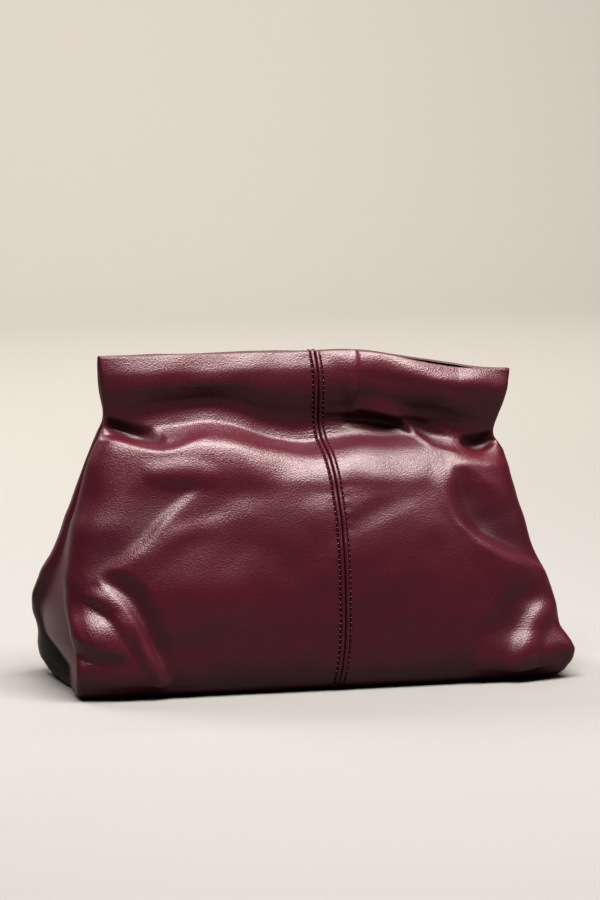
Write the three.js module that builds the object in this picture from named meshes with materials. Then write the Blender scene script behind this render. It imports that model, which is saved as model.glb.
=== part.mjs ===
// A slouchy leather clutch bag, standing on its base with its mouth nearly closed.
// Four quarter panels of leather are sewn at a front, a back and two side seams. They turn under
// at the foot round a flat base panel, and a snap disc inside the mouth holds it shut.
// Millimetres, +Z up. The front faces -Y, and the origin is the middle of the base's underside.
import * as THREE from "three";

// Driving dimensions
const LEATHER = 2; // thickness of a panel's wall
const HEM_THICKNESS = 3.2; // the leather turned double along the mouth
const HEM_DEPTH = 28; // how far down from the mouth the hem reaches
const HEM_FADE = 6; // over which it thins to one layer
const SEAM_GAP = 0.4; // clearance between two pieces that are sewn together
const BASE_GAP = 0.6; // clearance round the base panel
const SEAM_RIDGE = 3.6; // from the seam's groove to its row of stitches
const SEAM_RAISE = 1; // how far the turned seam allowance lifts the leather there
const MOUTH_SAG = 17; // how much lower the right end of the mouth hangs than the left
const SAG_LOW = 60; // the height where that slump starts
const SAG_HIGH = 190; // and where it is complete
const SAG_FRONT = [10, 150]; // the stretch of x along which the front slumps
const SAG_BACK = [35, 155]; // and the back
const FOOT_FADE = [3, 15]; // heights between which folds and seam ridges grow above the foot
const SIDE_FADE = [0.48, 0.8]; // shares of the depth between which folds grow in from the side
const SNAP_RADIUS = 8;
const SNAP_HEIGHT = 210; // of the snap's middle above the base
const SNAP_GAP = 0.3; // clearance on each side of the snap
const SNAP_SIDES = 24;

const COLOURS = {
  leather: 0x4a1520,
  base: 0x3a1019,
  snap: 0x8d8a86,
};

// Level sections from the turned-under foot to the mouth. left, right, front and back are how far
// the section reaches from the origin, tuckLeft and tuckRight how deep the side seam is folded in,
// fullness how square its corners are, seam where the centre seam runs, and steps the rows of
// facets up to the next section.
const SECTION_COLUMNS =
  "height left right front back tuckLeft tuckRight fullness seam steps".split(" ");
const SECTIONS = [
  [0, 164, 166, 46, 46, 0, 0, 5, 10, 1], // the turned edge that meets the base panel
  [0, 171, 177, 52, 52, 1, 1, 5, 10, 1],
  [3, 176, 189, 57, 56, 4, 3, 5, 10.5, 1],
  [9, 178, 194.5, 60, 59, 11, 7, 5, 11, 1],
  [17, 177.5, 194.5, 62, 61, 18, 12, 4.8, 12, 2],
  [27, 178.5, 188, 63, 62, 25, 17, 4.6, 13, 1],
  [35, 184, 184, 64, 62, 26, 18, 4.2, 13.5, 2],
  [47, 195.5, 188, 64.5, 62, 24, 18, 3.8, 14, 2],
  [58, 198.5, 184.5, 64.5, 62, 21, 17, 3.5, 14, 2], // the widest, where the sides slump over
  [74, 194.5, 174, 64, 61, 17, 15, 3.3, 14, 3],
  [90, 188.5, 166.5, 62, 59, 14, 14, 3.1, 14, 3],
  [112, 181, 161, 58.5, 56, 11, 12, 3, 14, 3],
  [135, 172.5, 155, 52, 50, 8, 9, 2.9, 13, 3],
  [155, 165, 149, 43, 42, 6, 7, 2.8, 12, 3],
  [170, 159, 146, 31, 31, 4.5, 5, 2.7, 11, 2],
  [181, 154, 141, 17, 19, 3, 3, 2.6, 10, 2],
  [190, 147, 139.5, 8.6, 8.8, 1, 1, 2.6, 9, 2], // the neck
  [203, 148, 146, 7.8, 7.6, 0.4, 0.4, 2.8, 8, 2],
  [220, 150.5, 152, 7.6, 7.4, 0.2, 0.2, 3, 7, 2],
  [233, 150, 153, 6.2, 6.8, 0, 0, 3, 6.5, 0], // the mouth
].map(named(SECTION_COLUMNS));

// Folds in the leather, each along a curve from one point through another to a third, given as x
// and height. raise is how far it stands out, or sinks if negative, and above and below how far it
// spreads to the left and to the right of the curve's own direction.
const FOLD_COLUMNS = "x0 z0 x1 z1 x2 z2 raise above below".split(" ");
const FRONT_FOLDS = [
  [-154, 184, -126, 172, -90, 181, -6, 13, 12], // crease under the neck's left end
  [-106, 183, -60, 188, -8, 180, 5, 13, 13], // roll of leather slumped below the neck
  [-100, 174, -50, 173, 2, 166, -3, 11, 11],
  [-102, 161, -45, 160, 4, 150, 5, 13, 22], // second roll under it
  [-168, 106, -137, 125, -84, 149, -5, 14, 13], // folds drawn from the low left corner
  [-164, 88, -133, 108, -90, 137, 4, 13, 13],
  [-136, 95, -100, 113, -44, 126, 4, 13, 15],
  [-150, 90, -128, 62, -108, 22, -5, 16, 16], // dents in that corner
  [-164, 87, -147, 64, -118, 18, 5, 13, 13],
  [-176, 80, -160, 60, -144, 44, -6, 12, 12],
  [40, 194, 70, 184, 96, 156, 7, 12, 12], // pleat beside the seam
  [27, 183, 48, 176, 70, 176, -6, 13, 12],
  [17, 152, 50, 155, 90, 154, 5, 12, 22],
  [108, 168, 124, 163, 142, 166, -6, 13, 13], // crease under the neck's right end
  [118, 152, 123, 118, 158, 96, -11, 26, 14], // side that falls back above the low right corner
  [110, 106, 132, 93, 162, 77, 4, 13, 22],
  [170, 62, 152, 50, 142, 18, -5, 15, 14], // dent in that corner
  [12, 116, 40, 132, 92, 146, -3, 14, 14],
  [18, 102, 45, 117, 98, 131, 3, 14, 14],
  [62, 236, 94, 228, 126, 222, 11, 34, 54], // mouth gaping at the right
].map(named(FOLD_COLUMNS));
const BACK_FOLDS = [
  [-140, 176, -70, 184, 20, 176, 5, 10, 10], // roll below the neck
  [10, 178, 70, 182, 128, 166, 5, 10, 10],
  [-120, 160, -40, 166, 60, 160, -4, 9, 14],
  [-162, 88, -120, 112, -60, 130, 4, 11, 11],
  [-165, 70, -146, 52, -124, 22, -6, 11, 11],
  [164, 64, 146, 48, 130, 20, -6, 11, 11],
  [60, 120, 105, 104, 150, 80, 4, 11, 14],
  [60, 236, 95, 230, 128, 224, 5, 34, 54], // mouth gaping at the right
].map(named(FOLD_COLUMNS));

// Quarter panels: which way each lies from the centre (side) and from the middle plane (face), its
// folds, its columns of facets and the share of the sections' rows that it is built from.
const PANELS = [
  { name: "front_left_panel", side: -1, face: -1, folds: FRONT_FOLDS, columns: 26, rows: 1 },
  { name: "front_right_panel", side: 1, face: -1, folds: FRONT_FOLDS, columns: 24, rows: 1 },
  { name: "back_left_panel", side: -1, face: 1, folds: BACK_FOLDS, columns: 14, rows: 0.5 },
  { name: "back_right_panel", side: 1, face: 1, folds: BACK_FOLDS, columns: 14, rows: 0.5 },
];
const COLUMN_CROWDING = 0.8; // below 1 crowds the columns towards the side
const PATH_POINTS = 48; // points that a section's outline is measured by
const FOLD_POINTS = 12; // straight pieces that a fold's curve is measured by

// A function that turns a row of numbers into an object with those column names
function named(columns) {
  return (row) => Object.fromEntries(columns.map((column, i) => [column, row[i]]));
}

function smoothstep(low, high, value) {
  const t = Math.min(1, Math.max(0, (value - low) / (high - low)));
  return t * t * (3 - 2 * t);
}

// Slope of a monotone cubic at row i of a column, which never overshoots the table
function slopeAt(column, i) {
  if (i === 0 || i === SECTIONS.length - 1) return 0;
  const before = SECTIONS[i][column] - SECTIONS[i - 1][column];
  const after = SECTIONS[i + 1][column] - SECTIONS[i][column];
  return before * after <= 0 ? 0 : (2 * before * after) / (before + after);
}

// The section at a place between two rows of the table, such as 3.5
function sectionAt(place) {
  const i = Math.min(Math.floor(place), SECTIONS.length - 2);
  const t = place - i;
  const mixed = {};
  for (const column of SECTION_COLUMNS) {
    const [a, b] = [SECTIONS[i][column], SECTIONS[i + 1][column]];
    const [m, n] = [slopeAt(column, i), slopeAt(column, i + 1)];
    const start = (1 + 2 * t) * (1 - t) ** 2 * a + t * (1 - t) ** 2 * m;
    const end = t * t * (3 - 2 * t) * b + t * t * (t - 1) * n;
    mixed[column] = start + end;
  }
  return mixed;
}

// One quarter of a section's outline, from the centre seam round the corner to the side seam
function quarterOutline(section, side, face, inset = 0) {
  const depth = (face < 0 ? section.front : section.back) - inset;
  const tip = side * ((side < 0 ? section.left : section.right) - inset);
  const tuck = side < 0 ? section.tuckLeft : section.tuckRight;
  const reach = tip - section.seam;
  const outline = [];
  for (let i = 0; i <= PATH_POINTS; i++) {
    const turn = (1 - i / PATH_POINTS) * (Math.PI / 2);
    const along = Math.cos(turn) ** (2 / section.fullness);
    const out = Math.sin(turn) ** (2 / section.fullness);
    outline.push(new THREE.Vector2(section.seam + reach * along, face * (depth / 2) * (1 + out)));
  }
  const tucks = PATH_POINTS / 4;
  for (let i = 1; i <= tucks; i++) {
    const t = i / tucks;
    const y = Math.max((depth / 2) * (1 - t), SEAM_GAP / 2);
    outline.push(new THREE.Vector2(tip - side * tuck * t * t, face * y));
  }
  return outline;
}

// Points along a polyline at these distances from its start, given a function of its length
function spacedAlong(line, distancesFor) {
  const reached = [0];
  for (let i = 1; i < line.length; i++) reached.push(reached[i - 1] + line[i].distanceTo(line[i - 1]));
  const total = reached.at(-1);
  return distancesFor(total).map((distance) => {
    let i = 1;
    while (i < line.length - 1 && reached[i] < distance) i++;
    const t = (distance - reached[i - 1]) / (reached[i] - reached[i - 1]);
    return line[i - 1].clone().lerp(line[i], t);
  });
}

// Where the columns of a quarter panel lie: the seam's ridge first, then steps that close up
// towards the side
function columnDistances(columns) {
  const ridge = [SEAM_GAP / 2, SEAM_RIDGE / 2, SEAM_RIDGE];
  const rest = columns - ridge.length + 1;
  return (total) => [
    ...ridge,
    ...Array.from(
      { length: rest },
      (_, i) => SEAM_RIDGE + (total - SEAM_RIDGE) * ((i + 1) / rest) ** COLUMN_CROWDING,
    ),
  ];
}

// How far a point of the leather drops because the mouth slumps to the right
function sagAt(x, height, face) {
  const along = smoothstep(...(face < 0 ? SAG_FRONT : SAG_BACK), x);
  return MOUTH_SAG * along * smoothstep(SAG_LOW, SAG_HIGH, height);
}

// The points of a fold's curve, which passes through its middle point
function foldCurve(fold) {
  const control = new THREE.Vector2(
    2 * fold.x1 - (fold.x0 + fold.x2) / 2,
    2 * fold.z1 - (fold.z0 + fold.z2) / 2,
  );
  const start = new THREE.Vector2(fold.x0, fold.z0);
  const end = new THREE.Vector2(fold.x2, fold.z2);
  return new THREE.QuadraticBezierCurve(start, control, end).getPoints(FOLD_POINTS);
}

// How far one fold moves the leather at x and height
function foldHeight(fold, curve, x, height) {
  const point = new THREE.Vector2(x, height);
  let nearest = Infinity;
  let leftOf = 0;
  for (let i = 1; i < curve.length; i++) {
    const run = curve[i].clone().sub(curve[i - 1]);
    const to = point.clone().sub(curve[i - 1]);
    const t = Math.min(1, Math.max(0, to.dot(run) / run.lengthSq()));
    const gap = to.distanceTo(run.clone().multiplyScalar(t));
    if (gap < nearest) {
      nearest = gap;
      leftOf = run.cross(to);
    }
  }
  const share = nearest / (leftOf > 0 ? fold.above : fold.below);
  return share < 1 ? fold.raise * (1 - share * share) ** 2 : 0;
}

// Normals of a grid of points, out of the bag, by central differences
function gridNormals(grid, outward) {
  const last = grid.length - 1;
  const end = grid[0].length - 1;
  return grid.map((row, r) =>
    row.map((_, c) => {
      const up = grid[Math.min(r + 1, last)][c].clone().sub(grid[Math.max(r - 1, 0)][c]);
      const across = grid[r][Math.min(c + 1, end)].clone().sub(grid[r][Math.max(c - 1, 0)]);
      const normal = across.cross(up).multiplyScalar(outward).normalize();
      if (c === 0) normal.setX(0).normalize(); // so that both sides of the seam agree
      if (c === end && normal.y * row[0].y > 0) normal.setY(0).normalize(); // and at the side seam
      return normal;
    }),
  );
}

// The outer face of a quarter panel as rows of points from the foot up
function panelGrid({ side, face, folds, columns, rows }) {
  const outward = side * -face;
  const base = [];
  for (let i = 0; i < SECTIONS.length; i++) {
    const steps = Math.max(1, Math.round(SECTIONS[i].steps * rows));
    for (let step = 0; step < steps; step++) {
      const section = sectionAt(i + step / steps);
      const outline = quarterOutline(section, side, face);
      const row = spacedAlong(outline, columnDistances(columns));
      base.push(
        row.map(({ x, y }) => {
          const depth = face < 0 ? section.front : section.back;
          const point = new THREE.Vector3(x, y, section.height - sagAt(x, section.height, face));
          point.free = smoothstep(...FOOT_FADE, point.z); // 0 at the foot, 1 well above it
          point.faced = point.free * smoothstep(...SIDE_FADE, Math.abs(y) / depth);
          return point;
        }),
      );
    }
  }
  const curves = folds.map((fold) => [fold, foldCurve(fold)]);
  const normals = gridNormals(base, outward);
  const grid = base.map((row, r) =>
    row.map((point, c) => {
      const raises = curves.map(([fold, curve]) => foldHeight(fold, curve, point.x, point.z));
      const folded = raises.reduce((sum, raise) => sum + raise, 0);
      const ridge = c === 1 ? SEAM_RAISE * point.free : 0;
      return point.clone().addScaledVector(normals[r][c], folded * point.faced + ridge);
    }),
  );
  return { grid, outward };
}

// A closed wall: the grid is its outer face, and its inner face lies one thickness inside it
function wallGeometry(grid, outward) {
  const normals = gridNormals(grid, outward);
  const rows = grid.length;
  const columns = grid[0].length;
  const inner = grid.map((row, r) =>
    row.map((point, c) => {
      const below = grid[rows - 1][c].z - point.z;
      const hem = 1 - smoothstep(HEM_DEPTH - HEM_FADE, HEM_DEPTH, below);
      const thickness = LEATHER + (HEM_THICKNESS - LEATHER) * hem;
      return point.clone().addScaledVector(normals[r][c], -thickness);
    }),
  );
  const positions = [...grid.flat(), ...inner.flat()].flatMap((p) => p.toArray());
  const outer = (r, c) => r * columns + c;
  const inside = (r, c) => rows * columns + r * columns + c;
  const index = [];
  const quad = (a, b, c, d) => index.push(...(outward > 0 ? [a, b, c, a, c, d] : [a, c, b, a, d, c]));
  for (let r = 0; r < rows - 1; r++) {
    for (let c = 0; c < columns - 1; c++) {
      quad(outer(r, c), outer(r, c + 1), outer(r + 1, c + 1), outer(r + 1, c));
      quad(inside(r, c), inside(r + 1, c), inside(r + 1, c + 1), inside(r, c + 1));
    }
    quad(outer(r, 0), outer(r + 1, 0), inside(r + 1, 0), inside(r, 0));
    const end = columns - 1;
    quad(outer(r, end), inside(r, end), inside(r + 1, end), outer(r + 1, end));
  }
  for (let c = 0; c < columns - 1; c++) {
    const top = rows - 1;
    quad(outer(0, c), inside(0, c), inside(0, c + 1), outer(0, c + 1));
    quad(outer(top, c), outer(top, c + 1), inside(top, c + 1), inside(top, c));
  }
  const geometry = new THREE.BufferGeometry();
  geometry.setAttribute("position", new THREE.Float32BufferAttribute(positions, 3));
  geometry.setIndex(index);
  geometry.computeVertexNormals();
  return geometry;
}

function leatherPanel(panel) {
  const { grid, outward } = panelGrid(panel);
  const material = new THREE.MeshStandardMaterial({ color: COLOURS.leather, roughness: 0.35 });
  const mesh = new THREE.Mesh(wallGeometry(grid, outward), material);
  mesh.name = panel.name;
  return mesh;
}

// The flat panel inside the turned-under edges
function basePanel() {
  const quarters = PANELS.map(({ side, face, columns }) => {
    const outline = quarterOutline(SECTIONS[0], side, face, BASE_GAP);
    return spacedAlong(outline, columnDistances(columns)).slice(2, -1);
  });
  const [frontLeft, frontRight, backLeft, backRight] = quarters;
  const shape = new THREE.Shape();
  shape.setFromPoints([...frontRight, ...backRight.reverse(), ...backLeft, ...frontLeft.reverse()]);
  const geometry = new THREE.ExtrudeGeometry(shape, { depth: LEATHER, bevelEnabled: false });
  const material = new THREE.MeshStandardMaterial({ color: COLOURS.base, roughness: 0.5 });
  const mesh = new THREE.Mesh(geometry, material);
  mesh.name = "base_panel";
  return mesh;
}

// The closed snap between the two hems, on the bag's centre seam
function snapDisc() {
  const section = SECTIONS.find(({ height }) => height > SNAP_HEIGHT);
  const front = section.front - HEM_THICKNESS - SNAP_GAP;
  const back = section.back - HEM_THICKNESS - SNAP_GAP;
  const geometry = new THREE.CylinderGeometry(SNAP_RADIUS, SNAP_RADIUS, front + back, SNAP_SIDES);
  const material = new THREE.MeshStandardMaterial({ color: COLOURS.snap, metalness: 1, roughness: 0.3 });
  const mesh = new THREE.Mesh(geometry, material);
  mesh.position.set(section.seam, (back - front) / 2, SNAP_HEIGHT);
  mesh.name = "magnetic_snap";
  return mesh;
}

const clutch = new THREE.Group();
clutch.add(...PANELS.map(leatherPanel), basePanel(), snapDisc());

export default clutch;
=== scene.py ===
import math

import bmesh
import bpy
import numpy as np
from bpy.props import FloatProperty, FloatVectorProperty, PointerProperty
from bpy.types import Operator, Panel, PropertyGroup
from mathutils import Matrix, Vector


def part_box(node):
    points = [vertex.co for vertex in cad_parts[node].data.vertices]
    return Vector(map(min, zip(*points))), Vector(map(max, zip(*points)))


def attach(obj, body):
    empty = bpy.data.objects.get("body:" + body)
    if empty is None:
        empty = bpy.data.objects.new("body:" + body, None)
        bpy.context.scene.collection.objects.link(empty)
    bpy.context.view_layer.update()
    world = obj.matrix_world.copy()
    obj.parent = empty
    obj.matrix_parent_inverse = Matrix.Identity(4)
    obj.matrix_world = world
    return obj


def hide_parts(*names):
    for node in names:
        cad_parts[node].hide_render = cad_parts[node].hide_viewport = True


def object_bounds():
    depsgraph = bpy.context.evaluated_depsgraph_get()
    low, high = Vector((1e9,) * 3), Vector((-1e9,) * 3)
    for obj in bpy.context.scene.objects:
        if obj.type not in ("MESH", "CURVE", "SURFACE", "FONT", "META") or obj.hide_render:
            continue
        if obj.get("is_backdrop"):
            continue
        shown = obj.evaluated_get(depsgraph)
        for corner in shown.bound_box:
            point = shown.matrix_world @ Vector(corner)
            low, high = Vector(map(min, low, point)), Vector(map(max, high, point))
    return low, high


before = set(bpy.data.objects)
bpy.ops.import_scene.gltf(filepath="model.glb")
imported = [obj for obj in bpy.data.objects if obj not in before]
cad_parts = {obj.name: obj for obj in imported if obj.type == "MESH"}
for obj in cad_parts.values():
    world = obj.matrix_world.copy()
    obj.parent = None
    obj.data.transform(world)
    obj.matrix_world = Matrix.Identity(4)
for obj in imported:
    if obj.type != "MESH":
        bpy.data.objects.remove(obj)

CAD_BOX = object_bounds()

bl_info = {
    "name": "Leather clutch bag",
    "version": (1, 0, 0),
    "blender": (4, 5, 0),
    "location": "3D View > Sidebar > Clutch",
    "description": "Dresses the frame of a soft leather clutch bag: panels, base, snap, stitches and stage",
    "category": "Add Mesh",
}

MM = 0.001  # the tables below are in millimetres, and Blender is in metres

# Level sections of the bag, from the turned-under foot to the mouth, in millimetres. left, right,
# front and back are how far each reaches from the origin, tuck how deep the side seam is folded in, or
# how far it flares out if negative, fullness how square the corners are, and seam where the centre seam
# runs. wall is half the width of the side, side_seam where the front panel ends on it, spread how much
# further left the back reaches, and step how far inside the front panel's edge the back panel runs on.
SECTION_COLUMNS = (
    "height left right front back tuck fullness seam wall side_seam spread step".split()
)
SECTIONS = (
    (0, 164, 164, 46, 46, 0, 5, 10, 36, -30, 0, 0),  # the turned edge that meets the base
    (0, 171, 170, 50, 49, 0, 5, 10, 40, -34, 1, 2),
    (2.5, 177, 179.5, 60, 58, 0, 5, 10.5, 48, -30, 2.5, 8),
    (9, 179, 186.5, 65.2, 62.3, 0, 5, 11, 53, -35, 5, 20),
    (17, 179, 188, 66.8, 63.6, 0, 4.4, 12, 55, -32, 6.5, 28),
    (22, 178.8, 186, 67.2, 64, -2, 3.8, 12.5, 54, -17, 7, 30),
    (27, 178.5, 183, 67.4, 64.2, -5, 3.4, 13, 50, 3, 8, 29),
    (35, 179, 179, 67.3, 64.2, -8, 3.1, 13.5, 43, 21, 10, 21),
    (47, 180, 178.5, 66.9, 64, -8, 2.9, 14, 36, 28, 13.5, 9),
    (58, 181, 177, 66.1, 63.2, -6, 2.75, 14, 29, 25, 14, 2),  # where the sides slump over
    (74, 181, 171.5, 64.3, 61.6, -1, 2.75, 14, 24, 16, 8.5, 0),
    (90, 178, 166.2, 61.4, 59.2, 2, 2.75, 14, 18, 9, 3.3, 0),
    (112, 174.3, 161.7, 55.9, 54.2, 4, 2.75, 14, 13, 5, 0, 0),
    (126, 169.4, 158.9, 51.4, 50.2, 4, 2.65, 13.4, 9.5, 2, 0, 0),
    (140, 165.5, 156, 46, 45, 4, 2.5, 12.8, 7, 0, 0, 0),
    (150, 162.5, 153.5, 42.6, 40.8, 3.6, 2.35, 12.3, 6.2, 0, 0, 0),
    (160, 159.5, 151.5, 37.6, 35.6, 3, 2.25, 11.6, 5.6, 0, 0, 0),
    (168, 156.5, 149.5, 32.4, 30, 2.6, 2.2, 11, 5, 0, 0, 0),
    (174, 154, 147.8, 26.4, 24, 2.2, 2.2, 10.5, 4.8, 0, 0, 0),
    (178, 152.2, 145.8, 20, 18.6, 1.9, 2.3, 10.2, 4.6, 0, 0, 0),
    (183, 150, 142.8, 12, 13, 1.6, 2.4, 9.9, 4.5, 0, 0, 0),
    (186, 148.6, 141.2, 10.3, 10.8, 1.4, 2.5, 9.5, 4.3, 0, 0, 0),
    (190, 147.2, 140.6, 8.5, 9.2, 1.2, 2.6, 9.1, 4, 0, 0, 0),  # the neck
    (194, 146.8, 141.6, 7.6, 8.4, 0.9, 2.6, 8.8, 3.8, 0, 0, 0),
    (199, 147, 143.8, 8.1, 8.6, 0.6, 2.7, 8.4, 4, 0, 0, 0),
    (205, 148.5, 146.5, 10.4, 9.2, 0.4, 2.8, 8, 4.4, 0, 0, 0),
    (213, 150, 149.5, 12.8, 10.2, 0.2, 3, 7.4, 4.6, 0, 0, 0),
    (220, 150.5, 151.5, 11.7, 10, 0.2, 3, 7.1, 4.4, 0, 0, 0),
    (226, 150.5, 152.5, 8.9, 8.8, 0.1, 3, 6.8, 3.8, 0, 0, 0),
    (230, 150.3, 153, 6.6, 7.6, 0.1, 3, 6.6, 3.2, 0, 0, 0),
    (232.3, 150.1, 153, 5.2, 6.8, 0, 3, 6.5, 2.8, 0, 0, 0),
    (233, 150, 153, 4.7, 6.4, 0, 3, 6.5, 2.2, 0, 0, 0),  # the mouth
)

# Folds in the leather, each along a curve from one point through another to a third, as x and height.
# raise is how far it stands out, or sinks if negative, above and below how far it spreads to the left
# and the right of its own direction, crease 0 for a round fold and 1 for a sharp one, and peak where
# along the curve it is strongest.
FOLD_COLUMNS = "x0 z0 x1 z1 x2 z2 raise above below crease peak".split()
FRONT_FOLDS = (
    (-168, 196, -135, 180, -106, 178, -5.5, 8, 6, 0, 0.5),  # pocket under the neck's left end
    (-192, 191, -133, 168, -74, 175, 5.5, 8, 44, 0.4, 0.45),  # lip of that pocket
    (-112, 172, -50, 165, 16, 154, 3, 12, 34, 0, 0.45),  # leather slumped below the neck
    (-126, 153, -98, 151, -70, 148, 2.2, 14, 12, 0, 0.5),
    (-168, 82, -128, 115, -82, 154, -1.8, 26, 8, 0, 0.5),  # folds drawn from the low left corner
    (-160, 76, -120, 107, -78, 146, 1.5, 8, 20, 0, 0.45),
    (-128, 100, -86, 126, -28, 138, -0.4, 12, 10, 0.2, 0.5),
    (-150, 80, -98, 108, -36, 122, 1, 12, 24, 0, 0.45),
    (-170, 50, -96, 66, -10, 62, 4, 44, 44, 0, 0.4),  # fullness of the low front
    (-156, 76, -134, 59, -98, -20, -4.4, 14, 9, 0, 0.42),  # dents in that corner
    (-168, 65, -147, 53, -110, -18, 3.6, 12, 8, 0, 0.42),
    (-194, 56, -166, 38, -142, 31, 8, 26, 12, 0, 0.52),
    (-172, 14, -130, 10, -86, 12, 3, 32, 10, 0, 0.5),  # rounded toe of the left corner
    (34, 246, 34, 216, 37, 182, 2.8, 6, 11, 0, 0.6),  # crease down the band
    (34, 193, 66, 184, 90, 164, 3.4, 11, 5, 0.2, 0.45),  # pleat beside the seam
    (26, 184, 48, 182, 72, 177, -3, 6, 7, 0, 0.45),  # hollows on both sides of it
    (68, 186, 88, 172, 112, 156, -2.5, 8, 5, 0, 0.5),
    (4, 186, 52, 180, 106, 174, -4, 8, 40, 0, 0.5),  # leather drawn in below the pleat
    (2, 160, 44, 166, 96, 167, 1, 11, 44, 0, 0.5),  # and let out again
    (100, 160, 126, 154, 158, 162, 1.5, 7, 14, 0.2, 0.5),  # lip of the hollow under the neck's right end
    (114, 164, 131, 164, 152, 175, -7, 8, 6, 0, 0.5),  # that hollow
    (98, 149, 126, 147, 166, 149, 4.5, 11, 36, 0.2, 0.55),  # right shoulder
    (84, 212, 120, 207, 158, 203, 2.5, 12, 12, 0, 0.6),  # ridges of the band
    (14, 231, 62, 223, 110, 211, 3, 14, 14, 0, 0.5),
    (108, 146, 119, 112, 172, 80, -7.4, 29, 16, 0, 0.5),  # side that falls back above the right corner
    (96, 112, 130, 93, 178, 66, 4, 9, 24, 0.5, 0.62),  # crisp edges of that side
    (98, 152, 103, 128, 120, 106, 2, 9, 18, 0, 0.45),
    (166, 60, 136, 36, 127, -14, -3.4, 14, 20, 0, 0.5),  # dent in that corner
    (179, 46, 152, 30, 142, -18, 2.7, 12, 13, 0, 0.5),
    (108, 12, 138, 8, 176, 12, 4.2, 30, 10, 0, 0.45),  # rounded toe of the right corner
    (2, 100, 36, 120, 74, 132, -0.8, 10, 10, 0.2, 0.5),  # soft wave right of the seam
    (2, 90, 40, 105, 78, 122, 0.5, 12, 18, 0, 0.5),
)
BACK_FOLDS = (
    (-150, 188, -130, 181, -100, 185, -5, 9, 8, 0.2, 0.5),  # pocket under the neck's end
    (-140, 176, -70, 183, 20, 175, 5, 11, 12, 0, 0.5),  # roll below the neck
    (10, 177, 70, 181, 128, 165, 5, 11, 12, 0, 0.5),
    (-120, 160, -40, 166, 60, 160, -4, 9, 14, 0, 0.5),
    (-162, 88, -120, 112, -60, 130, 4, 11, 11, 0, 0.5),  # folds drawn from the corners
    (-150, 108, -110, 132, -50, 150, -3, 10, 10, 0, 0.5),
    (-165, 70, -146, 52, -124, 22, -6, 11, 11, 0.2, 0.5),  # dents in the corners
    (164, 64, 146, 48, 130, 20, -6, 11, 11, 0.2, 0.5),
    (60, 120, 105, 104, 150, 80, 4, 11, 14, 0, 0.5),
    (40, 140, 90, 130, 140, 100, -3, 10, 10, 0, 0.5),
)

# Quarter panels: the CAD node, which way it lies from the centre and from the middle plane, its folds
PANELS = (
    ("front_left_panel", -1, -1, FRONT_FOLDS),
    ("front_right_panel", 1, -1, FRONT_FOLDS),
    ("back_left_panel", -1, 1, BACK_FOLDS),
    ("back_right_panel", 1, 1, BACK_FOLDS),
)

SEAM_GAP = 0.2  # between two panels where they are sewn together

# Mesh of a panel: its columns lie at these distances from the centre seam and from the side seam, with
# even ones between, and each section is first drawn as an outline of so many points
SEAM_STEPS = (0.2, 0.5, 0.9, 1.3, 1.8, 2.3, 2.7, 3.0, 3.3, 3.6, 3.9, 4.3, 4.8, 5.5, 6.5)
SIDE_STEPS = (7, 5.5, 4.2, 3.2, 2.4, 1.7, 1.1, 0.5, 0)
SIDE_COLUMNS = 26
SIDE_LEAST = 18  # the least length of outline that those columns take up
FACE_LENGTH = 185  # about how far the corner is from the centre seam
OUTLINE_POINTS = 160
WALL_LIMIT = 0.9  # the most of the bag's depth that the side takes up
EDGE_CLEAR = 2  # how far a folded-in edge stays from the far corner
RIGHT_STEP = 0.3  # the right side is folded in less, by this factor

# Slump of the whole bag. A pair of heights or of x is where an effect starts and where it is full.
MOUTH_SAG = 17  # how much lower the right end of the mouth hangs than the left
SAG_HEIGHTS = (60, 190)
SAG_FRONT = (10, 150)
SAG_BACK = (24, 152)
NECK_BAND = (120, 189, 226)  # heights between which the neck dips, and where it dips most
# Dips in the neck: x, half width, depth
FRONT_DIPS = ((-137, 20, 7), (-68, 26, -4), (-6, 42, 14), (56, 20, 4), (124, 16, 6))
BACK_DIPS = ((-120, 26, 7), (-30, 30, 4), (84, 30, 7))
GAPE = (92, 36, 5, 3)  # where the mouth gapes: x, half width, how far to the front and to the back
GAPE_HEIGHTS = (182, 208)
GAPE_FADE = (-0.5, 0.5)  # from the corner inwards, as a share of the panel's depth
FOOT_LIFT = 4  # how far the sides clear the floor beside the turned-under foot
LIFT_HEIGHTS = (0, 6)

# Relief of the leather
FOOT_FADE = (1, 9)  # heights over which it starts above the foot
SIDE_FADE = (0, 0.5)  # where the folds start, as a share of the panel's depth from the corner
FOLD_POINTS = 24
FOLD_TAPER = 0.8  # how soon a fold fades towards its ends
FOLD_ENDS = 0.6  # how wide it is there, as a share of its full width
WANDER = 1.2  # how far a fold's line strays from its smooth curve
WANDER_SIZE = 30
WANDER_SEEDS = (3, 4)
UNEVEN = ((0.5, 34, 11), (0.16, 13, 17))  # unevenness all over: depth, size, seed
WRINKLES = (0.12, 3.2, 23)  # fine wrinkles drawn from the centre seam: depth, size, seed
WRINKLE_STRETCH = 0.15  # x counts this much, so that they run out from the seam
WRINKLE_START = 1  # they grow over this width beside the stitches
WRINKLE_REACH = 7  # and fade over about this one
SIDE_ROLL = (0.8, 1.4, 1.1, 6)  # ridge along the side seam: rise, distance, half width, reach
RIDGE_ROUND = 0.7  # how round the two ridges of the centre seam are
SEAM_GROOVE = (0.4, 0.4)  # groove between them: depth, half width
STITCH_DIP = (0.5, 0.55)  # dip under each row of stitches: depth, half width

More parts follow.
